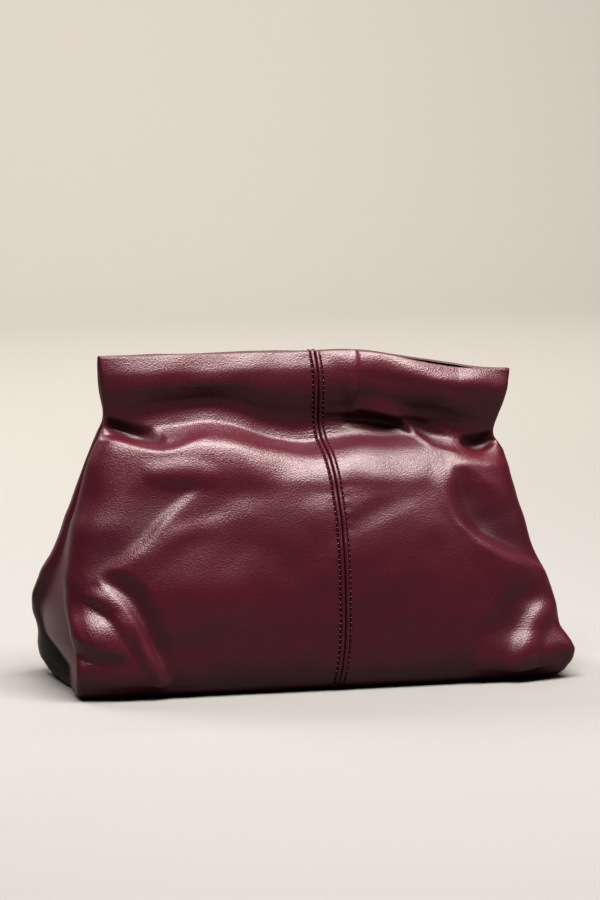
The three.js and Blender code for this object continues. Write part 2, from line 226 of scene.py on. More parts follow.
# Marks for the materials
PUCKER_BAND = (150, 186, 214)  # heights between which the centre seam gathers the leather
PUCKER_REACH = 5
HOLLOW_SHADE_DEPTH = 18  # where the folded-in side takes the most painted shade
HOLLOW_SHADE_FADE = (-0.1, 0.4)  # where painted shade darkens it behind the corner, as a share of the side's half width
RIM_HEIGHTS = (232.3, 232.9)  # the painted edge of the mouth
RIM_PAINT = 0.35
# Dark colour of the mouth's painted edge, also used as painted shade in the folded-in hollow
EDGE_PAINT_AND_SHADE = (0.007, 0.003, 0.003, 1)
EDGE_ROUGH = 0.85
CLOUD_SHARE = 0.5  # how much of the colour's change is cloudy, and how much follows the creases as painted shade and light
CREASE_SHADE_SHARE = 0.75
GATHER_HEIGHT = 1.2  # how far gathers stand above the grain
THREAD_TONES = (0.6, 1.4)  # darkest and lightest tone of the thread's twist
MIX_A, MIX_B, MIX_RESULT = 6, 7, 2  # the colour sockets of a Mix node

# Base, snap and stitches
BASE_GAP = 0.6  # between the base and the panels' turned edge
BASE_HALF = (165, 46)  # about half the base's length and width
BASE_SKIP = 4  # the base takes every fourth point of the outline
SNAP_RIM = 0.12  # the snap's rounded rim, as a share of its thickness
SEWN_FROM = 0.006  # height of the lowest stitch, in metres
SEWN_SHORT = 0.003  # how far below the mouth the stitches stop, in metres
SEWN_AHEAD = 0.001  # how far ahead a stitch's direction is taken, in metres
STITCH_SLANT = 0.3
STITCH_LIFT = 0.05  # how far a stitch stands off the leather, as a share of the thread
PUFF_LIFT = 0.35  # and a puff, as a share of its size
PUFF_FLAT = 3  # a puff's size over half its height

# Stage, in metres
FLOOR_HALF = 4
SWEEP_START = 2.4  # where the floor starts to curve up behind the bag
SWEEP_RADIUS = 0.9
SWEEP_STEPS = 13
WALL_TOP = 4.0
FLOOR_SHADE_SPAN = (-1.4, -0.7)  # painted shade: the floor is dark before the first y, out of view, and pale from the second
FLOOR_SHADE_COLOUR = (0.03, 0.028, 0.026, 1)
SOFT_WHITE = (1, 0.97, 0.93)
WARM_WHITE = (1, 0.94, 0.86)
AIR_WHITE = (1, 0.965, 0.92, 1)
AIR_STRENGTH = 0.05
# Soft lights: name, place, what it faces, size, power, colour
LIGHTS = (
    ("Overhead soft box", (0.1, -0.5, 1.55), (0.01, 0, 0.12), (1.76, 0.75), 79, SOFT_WHITE),
    ("Right card", (1.5, -0.6, 0.8), (0, 0, 0.1), (1.0, 0.8), 1.3, SOFT_WHITE),
    ("Left card", (-0.9, 1.0, 1.3), (-0.25, 0, 0), (0.8, 0.5), 19, SOFT_WHITE),
    ("Backdrop light", (0.35, 1.4, 2.3), (0.35, 3.3, 0.8), (2.8, 0.8), 186, WARM_WHITE),
)
CAMERA_TARGET = (-0.003, 0, 0.165)
CAMERA_TURN = math.radians(-14)  # to the left of the bag's front
CAMERA_RISE = math.radians(8)
CAMERA_AWAY = 2.8
CAMERA_LENS = 155.4  # in millimetres, on a 36 mm sensor
CAMERA_SENSOR = 36


class ClutchSizes(PropertyGroup):
    """Sizes that a user would change"""

    leather: FloatProperty(
        name="Leather", description="Thickness of a panel", default=0.002, unit="LENGTH"
    )
    edge_round: FloatProperty(
        name="Edge round", description="Radius of the leather's cut edges", default=0.0004, unit="LENGTH"
    )
    mesh_step: FloatProperty(
        name="Mesh step", description="Size of a panel's faces", default=0.0019, unit="LENGTH"
    )
    seam_half: FloatProperty(
        name="Seam half", description="From the seam to each row of stitches", default=0.0036, unit="LENGTH"
    )
    seam_crown: FloatProperty(
        name="Seam crown", description="Rise of the leather beside the seam", default=0.0012, unit="LENGTH"
    )
    stitch_pitch: FloatProperty(
        name="Stitch pitch", description="From one stitch to the next", default=0.0038, unit="LENGTH"
    )
    stitch_length: FloatProperty(
        name="Stitch length", description="Length of a stitch", default=0.0024, unit="LENGTH"
    )
    thread: FloatProperty(
        name="Thread", description="Diameter of the thread", default=0.0015, unit="LENGTH"
    )
    puff: FloatProperty(
        name="Puff", description="Size of the leather puffed up between stitches", unit="LENGTH",
        default=0.0017,
    )


class ClutchColours(PropertyGroup):
    """Colours that a user would change"""

    leather: FloatVectorProperty(
        name="Leather", description="Polished face of the leather", subtype="COLOR", size=3,
        default=(0.062, 0.0082, 0.0158),
    )
    # Painted shade: the leather's colour deepened in its creases, where shade falls. The base is made in
    # this colour too.
    shade: FloatVectorProperty(
        name="Shade", description="Leather where it is creased", subtype="COLOR", size=3,
        default=(0.033, 0.0044, 0.0082),
    )
    thread: FloatVectorProperty(
        name="Thread", description="Stitching", subtype="COLOR", size=3, default=(0.003, 0.001, 0.0012)
    )
    metal: FloatVectorProperty(
        name="Metal", description="The hidden snap", subtype="COLOR", size=3, default=(0.55, 0.54, 0.52)
    )
    floor: FloatVectorProperty(
        name="Floor", description="Floor and backdrop", subtype="COLOR", size=3,
        default=(0.188, 0.1825, 0.177),
    )


def smoothstep(low, high, value):
    """Rises smoothly from 0 at low to 1 at high. Where high is the smaller, it falls instead."""
    t = np.clip((value - low) / (high - low), 0, 1)
    return t * t * (3 - 2 * t)


def ripple(x, z, scale, seed):
    """Smooth unevenness between about -1 and 1, whose bumps are about scale across."""
    draws = np.random.default_rng(seed)
    total = np.zeros_like(x)
    waves = 9
    for _ in range(waves):
        turn = draws.uniform(0, math.tau)
        rate = math.tau / (scale * draws.uniform(1.4, 2.8))
        total += np.sin(rate * (x * math.cos(turn) + z * math.sin(turn)) + draws.uniform(0, math.tau))
    return total / math.sqrt(waves)


def sections_at(places):
    """Rows of the section table at fractional row numbers, by a monotone cubic that never overshoots."""
    table = np.array(SECTIONS, float)
    steps = np.diff(table, axis=0)
    slopes = np.zeros_like(table)
    before, after = steps[:-1], steps[1:]
    product = before * after
    both = np.where(product > 0, before + after, 1)
    slopes[1:-1] = np.where(product > 0, 2 * product / both, 0)
    i = np.minimum(places.astype(int), len(table) - 2)
    t = (places - i)[:, None]
    start = (1 + 2 * t) * (1 - t) ** 2 * table[i] + t * (1 - t) ** 2 * slopes[i]
    end = t * t * (3 - 2 * t) * table[i + 1] + t * t * (t - 1) * slopes[i + 1]
    return start + end


def row_places(step):
    """Fractional section rows that lie about a step apart up the front of the bag."""
    table = np.array(SECTIONS, float)
    rise = np.abs(np.diff(table[:, [0, 1, 3]], axis=0)).max(axis=1)
    places = [
        i + np.arange(count) / count
        for i, count in enumerate(np.maximum(2, np.ceil(rise / step)).astype(int))
    ]
    return np.append(np.concatenate(places), len(table) - 1)


def named_section(section, side):
    """A section's columns by name. The right-hand side is folded in less than the left."""
    named = dict(zip(SECTION_COLUMNS, section))
    if side > 0:
        named["step"] *= RIGHT_STEP
    return named


def quarter_outline(section, side, face):
    """A quarter of a level section, from the centre seam round the corner to the side seam."""
    named = named_section(section, side)
    depth = named["front" if face < 0 else "back"]
    tip = side * named["left" if side < 0 else "right"]
    wall = min(named["wall"], WALL_LIMIT * depth)
    tuck = named["tuck"]
    edge = named["side_seam"] + face * SEAM_GAP / 2
    if face > 0:
        tuck += named["step"]
        edge = max(edge - named["step"], EDGE_CLEAR - wall)
    if side < 0 < face:
        tip -= named["spread"]
        tuck += named["spread"]
    turn = np.linspace(math.pi / 2, 0, OUTLINE_POINTS)
    power = 2 / named["fullness"]
    x = named["seam"] + (tip - named["seam"]) * np.cos(turn) ** power
    y = face * (wall + (depth - wall) * np.sin(turn) ** power)
    t = np.linspace(0, 1, OUTLINE_POINTS // 4)[1:]
    bow = t * t if tuck > 0 else t * (2 - t)
    x = np.append(x, tip - side * tuck * bow)
    y = np.append(y, face * wall * (1 - t) + edge * t)
    return x, y


def column_distances(corner, total, columns):
    """Distances along a section: close at both seams, even up to the corner and on from it."""
    ends = total - np.array(SIDE_STEPS)
    corner = min(corner, total - SIDE_LEAST)
    front = np.linspace(SEAM_STEPS[-1], corner, columns + 1)[1:]
    wall = np.linspace(corner, ends[0], SIDE_COLUMNS + 1)[1:-1]
    return np.concatenate([SEAM_STEPS, front, wall, ends])


def grid_normals(points, outward):
    """Unit normals of a grid of points, out of the bag."""
    across = np.gradient(points, axis=1)
    up = np.gradient(points, axis=0)
    normal = np.cross(across, up) * outward
    normal[:, 0, 0] = 0
    return normal / np.linalg.norm(normal, axis=2, keepdims=True)


def fold_relief(folds, x, z):
    """How far the folds move the leather at each x and height."""
    x = x + WANDER * ripple(x, z, WANDER_SIZE, WANDER_SEEDS[0])
    z = z + WANDER * ripple(x, z, WANDER_SIZE, WANDER_SEEDS[1])
    total = np.zeros_like(x)
    for row in folds:
        fold = dict(zip(FOLD_COLUMNS, row))
        start = np.array([fold["x0"], fold["z0"]])
        via = np.array([fold["x1"], fold["z1"]])
        end = np.array([fold["x2"], fold["z2"]])
        control = 2 * via - (start + end) / 2
        t = np.linspace(0, 1, FOLD_POINTS + 1)[:, None]
        curve = (1 - t) ** 2 * start + 2 * t * (1 - t) * control + t * t * end
        nearest = np.full(x.shape, np.inf)
        side = np.zeros_like(x)
        along = np.zeros_like(x)
        for k, (a, b) in enumerate(zip(curve[:-1], curve[1:])):
            run = b - a
            to_x, to_z = x - a[0], z - a[1]
            share = np.clip((to_x * run[0] + to_z * run[1]) / (run @ run), 0, 1)
            gap = np.hypot(to_x - share * run[0], to_z - share * run[1])
            closer = gap < nearest
            nearest = np.where(closer, gap, nearest)
            side = np.where(closer, run[0] * to_z - run[1] * to_x, side)
            along = np.where(closer, (k + share) / FOLD_POINTS, along)
        swell = np.sin(math.pi * along ** (math.log(0.5) / math.log(fold["peak"]))) ** FOLD_TAPER
        reach = np.where(side > 0, fold["above"], fold["below"])
        reach = reach * (FOLD_ENDS + (1 - FOLD_ENDS) * swell)
        share = np.minimum(1, nearest / reach)
        crest = (1 - share * share) ** 2
        edge = (1 - share) ** 2
        total += fold["raise"] * swell * (crest + (edge - crest) * fold["crease"])
    return total


def seam_relief(distance, half, crown):
    """The double ridge beside the centre seam: a groove, a rounded ridge and the dip of the stitches."""
    ridge = crown * np.clip(1 - ((distance - half / 2) / (half / 2)) ** 2, 0, 1) ** RIDGE_ROUND
    groove_depth, groove_width = SEAM_GROOVE
    groove = -groove_depth * np.exp(-((distance / groove_width) ** 2))
    dip_depth, dip_width = STITCH_DIP
    dip = -dip_depth * np.exp(-(((distance - half) / dip_width) ** 2))
    return ridge + groove + dip


def laid_out_sections(side, face, step):
    """A panel's grid before it slumps: its points, how far each is along its section from the centre
    seam, its share of the depth from the corner, and how deep it is folded in out of the light, for its
    painted shade."""
    sections = sections_at(row_places(step))
    columns = int(FACE_LENGTH / step)
    across = len(SEAM_STEPS) + columns + SIDE_COLUMNS - 1 + len(SIDE_STEPS)
    points = np.zeros((len(sections), across, 3))
    apart = np.zeros(points.shape[:2])
    depth_share = np.zeros(points.shape[:2])
    hollow_shade = np.zeros(points.shape[:2])
    for r, section in enumerate(sections):
        x, y = quarter_outline(section, side, face)
        reached = np.append(0, np.cumsum(np.hypot(np.diff(x), np.diff(y))))
        apart[r] = column_distances(reached[OUTLINE_POINTS - 1], reached[-1], columns)
        points[r, :, 0] = np.interp(apart[r], reached, x)
        points[r, :, 1] = np.interp(apart[r], reached, y)
        points[r, :, 2] = section[0]
        named = named_section(section, side)
        beyond = face * points[r, :, 1] - named["wall"]
        depth_share[r] = beyond / beyond.max()
        if face > 0:
            inside = min(1, named["step"] / HOLLOW_SHADE_DEPTH)
            hollow_shade[r] = inside * smoothstep(*HOLLOW_SHADE_FADE, -beyond / named["wall"])
    return points, apart, depth_share, hollow_shade


def slump(points, face, depth_share):
    """Lets the mouth hang to the right, the neck dip and the mouth gape. Changes the points in place."""
    x, height = points[..., 0], points[..., 2].copy()
    along = smoothstep(*(SAG_FRONT if face < 0 else SAG_BACK), x)
    points[..., 2] -= MOUTH_SAG * along * smoothstep(*SAG_HEIGHTS, height)
    low, middle, high = NECK_BAND
    dipping = smoothstep(low, middle, height) * smoothstep(high, middle, height)
    for place, half_width, depth in FRONT_DIPS if face < 0 else BACK_DIPS:
        points[..., 2] -= depth * dipping * np.exp(-(((x - place) / half_width) ** 2))
    place, half_width, *open_by = GAPE
    gaping = np.exp(-(((x - place) / half_width) ** 2)) * smoothstep(*GAPE_HEIGHTS, height)
    points[..., 1] += face * open_by[face > 0] * gaping * smoothstep(*GAPE_FADE, depth_share)


def leather_relief(points, side, face, folds, apart, depth_share, half):
    """How far the leather stands out from its smooth form, without the ridges of the centre seam, and
    how free it is of the foot."""
    x, z = points[..., 0], points[..., 2]
    free = smoothstep(*FOOT_FADE, z)
    relief = fold_relief(folds, x, z) * (free * smoothstep(*SIDE_FADE, depth_share))
    relief += free * sum(depth * ripple(x, z, size, seed + face) for depth, size, seed in UNEVEN)
    depth, size, seed = WRINKLES
    pucker = np.exp(-np.maximum(0, apart - half) / WRINKLE_REACH)
    pucker *= smoothstep(half, half + WRINKLE_START, apart)
    relief += free * pucker * depth * ripple(x * WRINKLE_STRETCH, z, size, seed + side)
    rise, distance, half_width, reach = SIDE_ROLL
    rim = apart[:, -1:] - apart
    relief += free * rise * np.exp(-(((rim - distance) / half_width) ** 2)) * (rim < reach)
    return relief, free


def panel_surface(side, face, folds, sizes):
    """Points of a quarter panel's outer face, in millimetres, its marks, and which way it is wound."""
    half, crown = sizes.seam_half / MM, sizes.seam_crown / MM
    outward = -side * face
    points, apart, depth_share, hollow_shade = laid_out_sections(side, face, sizes.mesh_step / MM)
    height = points[..., 2].copy()
    slump(points, face, depth_share)
    folded, free = leather_relief(points, side, face, folds, apart, depth_share, half)
    relief = folded + free * seam_relief(apart, half, crown) * (apart < 2 * half)
    points += grid_normals(points, outward) * relief[..., None]
    points[..., 2] += FOOT_LIFT * smoothstep(*LIFT_HEIGHTS, height)
    low, middle, high = PUCKER_BAND
    gather = np.exp(-np.maximum(0, apart - half) / PUCKER_REACH) * (apart > half)
    gather *= smoothstep(low, middle, height) * smoothstep(high, middle, height)
    # edge: the mouth's painted edge, plus painted shade where the side is folded in
    edge = RIM_PAINT * smoothstep(*RIM_HEIGHTS, height) + hollow_shade
    return points, {"crease": folded, "edge": edge, "gather": gather}, outward


def new_object(name, bm, material):
    """An object at the origin from a bmesh, with one material and smooth faces."""
    mesh = bpy.data.meshes.new(name)
    for face in bm.faces:
        face.smooth = True
    bm.to_mesh(mesh)
    bm.free()
    mesh.materials.append(material)
    piece = bpy.data.objects.new(name, mesh)
    bpy.context.scene.collection.objects.link(piece)
    return piece


def build_panel(node, side, face, folds, sizes, material):
    """One quarter panel: a grid laid on the bag's surface, then given the leather's thickness."""
    points, marks, outward = panel_surface(side, face, folds, sizes)
    rows, columns = points.shape[:2]
    bm = bmesh.new()
    bmesh.ops.create_grid(bm, x_segments=columns - 1, y_segments=rows - 1, size=0.5)
    bm.verts.ensure_lookup_table()
    for vert, place in zip(bm.verts, points.reshape(-1, 3) * MM):
        vert.co = place
    for name, values in marks.items():
        layer = bm.verts.layers.float.new(name)
        for vert, value in zip(bm.verts, values.ravel()):
            vert[layer] = value
    if outward < 0:
        bmesh.ops.reverse_faces(bm, faces=bm.faces)
    piece = new_object(node.replace("_panel", "_leather"), bm, material)
    wall = piece.modifiers.new("Leather", "SOLIDIFY")
    wall.thickness = sizes.leather
    wall.offset = -1
    edges = piece.modifiers.new("Edges", "BEVEL")
    edges.width = sizes.edge_round
    edges.segments = 2
    edges.limit_method = "ANGLE"
    edges.angle_limit = math.radians(50)
    return piece


def new_group(name, inputs, outputs):
    """A shader node group with named sockets. inputs holds (name, type, default) rows."""
    group = bpy.data.node_groups.new(name, "ShaderNodeTree")
    for label, kind, default in inputs:
        socket = group.interface.new_socket(label, in_out="INPUT", socket_type=kind)
        socket.default_value = default
    for label, kind in outputs:
        group.interface.new_socket(label, in_out="OUTPUT", socket_type=kind)
    return group, group.nodes.new("NodeGroupInput"), group.nodes.new("NodeGroupOutput")


def node(tree, kind, **values):
    """A node of that kind, with its named properties set."""
    made = tree.nodes.new(kind)
    for name, value in values.items():
        setattr(made, name, value)
    return made


def grain_group():
    """Pebbled grain: small rounded cells, cut by fine lines, with gathers where the seam draws it in."""
    group, given, put = new_group(
        "Leather grain",
        [("Cell size", "NodeSocketFloat", 1050.0), ("Line depth", "NodeSocketFloat", 0.5)],
        [("Height", "NodeSocketFloat")],
    )
    link = group.links.new
    place = node(group, "ShaderNodeTexCoord")
    bend = node(group, "ShaderNodeTexNoise")
    bend.inputs["Scale"].default_value = 260.0
    bend.inputs["Detail"].default_value = 2.0
    cells = node(group, "ShaderNodeTexVoronoi", feature="SMOOTH_F1")
    cells.inputs["Smoothness"].default_value = 0.6
    lines = node(group, "ShaderNodeTexNoise")
    lines.inputs["Scale"].default_value = 420.0
    lines.inputs["Detail"].default_value = 5.0
    lines.inputs["Roughness"].default_value = 0.62
    deep = node(group, "ShaderNodeMath", operation="MULTIPLY")
    total = node(group, "ShaderNodeMath", operation="ADD")
    add = node(group, "ShaderNodeVectorMath", operation="ADD")
    small = node(group, "ShaderNodeVectorMath", operation="SCALE")
    small.inputs["Scale"].default_value = 0.0012
    link(place.outputs["Object"], bend.inputs["Vector"])
    link(bend.outputs["Color"], small.inputs[0])
    link(place.outputs["Object"], add.inputs[0])
    link(small.outputs[0], add.inputs[1])
    link(add.outputs[0], cells.inputs["Vector"])
    link(given.outputs["Cell size"], cells.inputs["Scale"])
    link(place.outputs["Object"], lines.inputs["Vector"])
    link(lines.outputs["Fac"], deep.inputs[0])
    link(given.outputs["Line depth"], deep.inputs[1])
    link(cells.outputs["Distance"], total.inputs[0])
    link(deep.outputs[0], total.inputs[1])
    gather = node(group, "ShaderNodeAttribute", attribute_name="gather")
    waves = node(group, "ShaderNodeTexWave", bands_direction="Z")
    waves.inputs["Scale"].default_value = 115.0
    waves.inputs["Distortion"].default_value = 4.0
    waves.inputs["Detail"].default_value = 1.0
    waves.inputs["Detail Scale"].default_value = 3.0
    drawn = node(group, "ShaderNodeMath", operation="MULTIPLY")
    puckered = node(group, "ShaderNodeMath", operation="MULTIPLY_ADD")
    puckered.inputs[1].default_value = GATHER_HEIGHT
    link(place.outputs["Object"], waves.inputs["Vector"])
    link(waves.outputs["Fac"], drawn.inputs[0])
    link(gather.outputs["Fac"], drawn.inputs[1])
    link(drawn.outputs[0], puckered.inputs[0])
    link(total.outputs[0], puckered.inputs[2])
    link(puckered.outputs[0], put.inputs["Height"])
    return group


def tone_group():
    """Leather's colour and polish: painted shade in the creases and painted light on the raised folds,
    cloudy all over, and dark and matt where an edge is painted or where it lies folded out of the light, as
    painted shade."""
    group, given, put = new_group(
        "Leather tone",
        [
            ("Face", "NodeSocketColor", (0.1, 0.01, 0.02, 1)),
            ("Shade", "NodeSocketColor", (0.05, 0.005, 0.01, 1)),
            ("Dullest", "NodeSocketFloat", 0.42),
            ("Glossiest", "NodeSocketFloat", 0.3),
        ],
        [("Color", "NodeSocketColor"), ("Roughness", "NodeSocketFloat")],
    )
    link = group.links.new
    place = node(group, "ShaderNodeTexCoord")
    cloud = node(group, "ShaderNodeTexNoise")
    cloud.inputs["Scale"].default_value = 22.0
    cloud.inputs["Detail"].default_value = 4.0
    # Painted shade and light: the colour darkens where the folds sink and lightens where they rise
    crease = node(group, "ShaderNodeAttribute", attribute_name="crease")
    lifted = node(group, "ShaderNodeMapRange")
    lifted.inputs["From Min"].default_value = -6.0
    lifted.inputs["From Max"].default_value = 4.0
    blend = node(group, "ShaderNodeMath", operation="MULTIPLY_ADD")
    blend.inputs[1].default_value = CLOUD_SHARE
    tint = node(group, "ShaderNodeMix", data_type="RGBA")
    polish = node(group, "ShaderNodeMapRange")
    link(place.outputs["Object"], cloud.inputs["Vector"])
    link(crease.outputs["Fac"], lifted.inputs["Value"])
    link(cloud.outputs["Fac"], blend.inputs[0])
    creased = node(group, "ShaderNodeMath", operation="MULTIPLY")
    creased.inputs[1].default_value = CREASE_SHADE_SHARE
    link(lifted.outputs["Result"], creased.inputs[0])
    link(creased.outputs[0], blend.inputs[2])
    link(blend.outputs[0], tint.inputs["Factor"])
    link(given.outputs["Shade"], tint.inputs[MIX_A])
    link(given.outputs["Face"], tint.inputs[MIX_B])
    # Edge paint along the mouth, and painted shade in the folded-in hollow
    edge = node(group, "ShaderNodeAttribute", attribute_name="edge")
    painted = node(group, "ShaderNodeMix", data_type="RGBA")
    painted.inputs[MIX_B].default_value = EDGE_PAINT_AND_SHADE
    matt = node(group, "ShaderNodeMix")
    matt.inputs["B"].default_value = EDGE_ROUGH
    link(edge.outputs["Fac"], painted.inputs["Factor"])
    link(tint.outputs[MIX_RESULT], painted.inputs[MIX_A])
    link(painted.outputs[MIX_RESULT], put.inputs["Color"])
    link(blend.outputs[0], polish.inputs["Value"])
    link(given.outputs["Dullest"], polish.inputs["To Min"])
    link(given.outputs["Glossiest"], polish.inputs["To Max"])
    link(edge.outputs["Fac"], matt.inputs["Factor"])
    link(polish.outputs["Result"], matt.inputs["A"])
    link(matt.outputs["Result"], put.inputs["Roughness"])
    return group


def shared_group(name, build):
    """The node group of that name, built the first time it is asked for."""
    return bpy.data.node_groups.get(name) or build()


def new_material(name):
    """A material with its node tree and its shader."""
    material = bpy.data.materials.new(name)
    material.use_nodes = True
    return material, material.node_tree, material.node_tree.nodes["Principled BSDF"]


def leather_material(name, face, shade, gloss, dull, grain_depth):
    """Polished, finely grained leather. gloss and dull are its least and most roughness."""
    material, tree, shader = new_material(name)
    link = tree.links.new
    tone = node(tree, "ShaderNodeGroup", node_tree=shared_group("Leather tone", tone_group))
    tone.inputs["Face"].default_value = (*face, 1)
    tone.inputs["Shade"].default_value = (*shade, 1)
    tone.inputs["Glossiest"].default_value = gloss
    tone.inputs["Dullest"].default_value = dull
    grain = node(tree, "ShaderNodeGroup", node_tree=shared_group("Leather grain", grain_group))
    bump = node(tree, "ShaderNodeBump")
    bump.inputs["Strength"].default_value = grain_depth
    bump.inputs["Distance"].default_value = 0.0004
    link(tone.outputs["Color"], shader.inputs["Base Color"])
    link(tone.outputs["Roughness"], shader.inputs["Roughness"])
    link(grain.outputs["Height"], bump.inputs["Height"])
    link(bump.outputs["Normal"], shader.inputs["Normal"])
    shader.inputs["Specular IOR Level"].default_value = 0.5
    return material


def thread_material(colour):
    """Twisted waxed thread."""
    material, tree, shader = new_material("Waxed thread")
    twist = node(tree, "ShaderNodeTexNoise")
    twist.inputs["Scale"].default_value = 1600.0
    place = node(tree, "ShaderNodeTexCoord")
    tint = node(tree, "ShaderNodeMix", data_type="RGBA")
    for socket, tone in zip((MIX_A, MIX_B), THREAD_TONES):
        tint.inputs[socket].default_value = (*(c * tone for c in colour), 1)
    bump = node(tree, "ShaderNodeBump")
    bump.inputs["Strength"].default_value = 0.5
    bump.inputs["Distance"].default_value = 0.0002
    link = tree.links.new
    link(place.outputs["Object"], twist.inputs["Vector"])
    link(twist.outputs["Fac"], tint.inputs["Factor"])
    link(tint.outputs[MIX_RESULT], shader.inputs["Base Color"])
    link(twist.outputs["Fac"], bump.inputs["Height"])
    link(bump.outputs["Normal"], shader.inputs["Normal"])
    shader.inputs["Roughness"].default_value = 0.8
    shader.inputs["Specular IOR Level"].default_value = 0.2
    return material


def metal_material(colour):
    """Brushed metal of the snap."""
    material, tree, shader = new_material("Snap metal")
    brush = node(tree, "ShaderNodeTexNoise")
    brush.inputs["Scale"].default_value = 900.0
    place = node(tree, "ShaderNodeTexCoord")
    rough = node(tree, "ShaderNodeMapRange")
    rough.inputs["To Min"].default_value = 0.25
    rough.inputs["To Max"].default_value = 0.45
    link = tree.links.new
    link(place.outputs["Object"], brush.inputs["Vector"])
    link(brush.outputs["Fac"], rough.inputs["Value"])
    link(rough.outputs["Result"], shader.inputs["Roughness"])
    shader.inputs["Base Color"].default_value = (*colour, 1)
    shader.inputs["Metallic"].default_value = 1.0
    return material


def sizes_and_colours(context):
    """The scene's own sizes and colours of the bag."""
    return context.scene.clutch_sizes, context.scene.clutch_colours


class CLUTCH_OT_panels(Operator):
    """Makes the four quarter panels of leather"""

    bl_idname = "clutch.panels"
    bl_label = "Leather panels"

    def execute(self, context):
        sizes, colours = sizes_and_colours(context)
        material = leather_material(
            "Panel leather", colours.leather, colours.shade, gloss=0.35, dull=0.45, grain_depth=0.42
        )
        for cad_node, side, face, folds in PANELS:
            piece = build_panel(cad_node, side, face, folds, sizes, material)
            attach(piece, "root")
            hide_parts(cad_node)
        return {"FINISHED"}


class CLUTCH_OT_base(Operator):
    """Makes the flat base inside the panels' turned-under foot"""

    bl_idname = "clutch.base"
    bl_label = "Base"

    def execute(self, context):
        sizes, colours = sizes_and_colours(context)
        shrink_x, shrink_y = (1 - BASE_GAP / half for half in BASE_HALF)
        outline = []
        for side, face in ((1, -1), (1, 1), (-1, 1), (-1, -1)):
            x, y = quarter_outline(SECTIONS[0], side, face)
            quarter = list(zip(x[::BASE_SKIP], y[::BASE_SKIP]))[1:-1]
            outline += quarter[::-1] if side * face > 0 else quarter
        bm = bmesh.new()
        verts = [bm.verts.new((x * shrink_x * MM, y * shrink_y * MM, 0)) for x, y in outline]
        under = bm.faces.new(verts)
        walls = bmesh.ops.extrude_face_region(bm, geom=[under])
        top = [v for v in walls["geom"] if isinstance(v, bmesh.types.BMVert)]
        bmesh.ops.translate(bm, verts=top, vec=(0, 0, sizes.leather))
        bmesh.ops.recalc_face_normals(bm, faces=bm.faces)
        material = leather_material(
            "Base leather", colours.shade, colours.shade, gloss=0.4, dull=0.55, grain_depth=0.5
        )
        piece = new_object("base_leather", bm, material)
        for polygon in piece.data.polygons:
            polygon.use_smooth = False
        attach(piece, "root")
        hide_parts("base_panel")
        return {"FINISHED"}


class CLUTCH_OT_snap(Operator):
    """Makes the closed snap inside the mouth: two flanged discs with a rounded rim"""

    bl_idname = "clutch.snap"
    bl_label = "Snap"

    def execute(self, context):
        _, colours = sizes_and_colours(context)
        low, high = (Vector(corner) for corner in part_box("magnetic_snap"))
        middle = (low + high) / 2
        radius, thick = (high.x - low.x) / 2, high.y - low.y
        rim = SNAP_RIM * thick
        profile = (
            (0, -thick / 2),
            (radius - rim, -thick / 2),
            (radius, -thick / 2 + rim),
            (radius, -rim),
            (radius - rim, 0),
            (radius, rim),
            (radius, thick / 2 - rim),
            (radius - rim, thick / 2),
            (0, thick / 2),
        )
        bm = bmesh.new()
        line = [bm.verts.new((reach, along, 0)) for reach, along in profile]
        edges = [bm.edges.new(pair) for pair in zip(line[:-1], line[1:])]
        bmesh.ops.spin(
            bm, geom=line + edges, cent=(0, 0, 0), axis=(0, 1, 0), angle=math.tau, steps=48, use_merge=True
        )
        bmesh.ops.remove_doubles(bm, verts=bm.verts, dist=1e-6)
        bmesh.ops.recalc_face_normals(bm, faces=bm.faces)
        bmesh.ops.translate(bm, verts=bm.verts, vec=middle)
        piece = new_object("snap_discs", bm, metal_material(colours.metal))
        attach(piece, "root")
        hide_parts("magnetic_snap")
        return {"FINISHED"}


def stitch_places(side, face, folds, sizes):
    """Twice as many places as stitches along a row beside a seam: place, direction and normal of each."""
    points, _, outward = panel_surface(side, face, folds, sizes)
    half = sizes.seam_half / MM
    column = int(np.argmin(np.abs(np.array(SEAM_STEPS) - half)))
    line = points[:, column] * MM
    normals = grid_normals(points, outward)[:, column]
    reached = np.append(0, np.cumsum(np.linalg.norm(np.diff(line, axis=0), axis=1)))
    start = reached[np.argmax(line[:, 2] > SEWN_FROM)]
    marks = np.arange(start, reached[-1] - SEWN_SHORT, sizes.stitch_pitch / 2)
    at = [[np.interp(m, reached, line[:, k]) for k in range(3)] for m in marks]
    ahead = [[np.interp(m + SEWN_AHEAD, reached, line[:, k]) for k in range(3)] for m in marks]
    facing = [[np.interp(m, reached, normals[:, k]) for k in range(3)] for m in marks]
    for place, onward, normal in zip(at, ahead, facing):
        yield Vector(place), (Vector(onward) - Vector(place)).normalized(), Vector(normal).normalized()


def sewn_row(bm, places, radii, slant, lift):
    """Adds a small ellipsoid at each place along a seam, slanted and lifted off the leather."""
    for place, along, normal in places:
        across = along.cross(normal).normalized()
        onward = (along + slant * across).normalized()
        aside = onward.cross(normal).normalized()
        turn = Matrix((aside, onward, normal)).transposed().to_4x4()
        shape = Matrix.Diagonal((*radii, 1))
        lifted = Matrix.Translation(place + normal * lift)
        bmesh.ops.create_uvsphere(bm, u_segments=8, v_segments=6, radius=1, matrix=lifted @ turn @ shape)


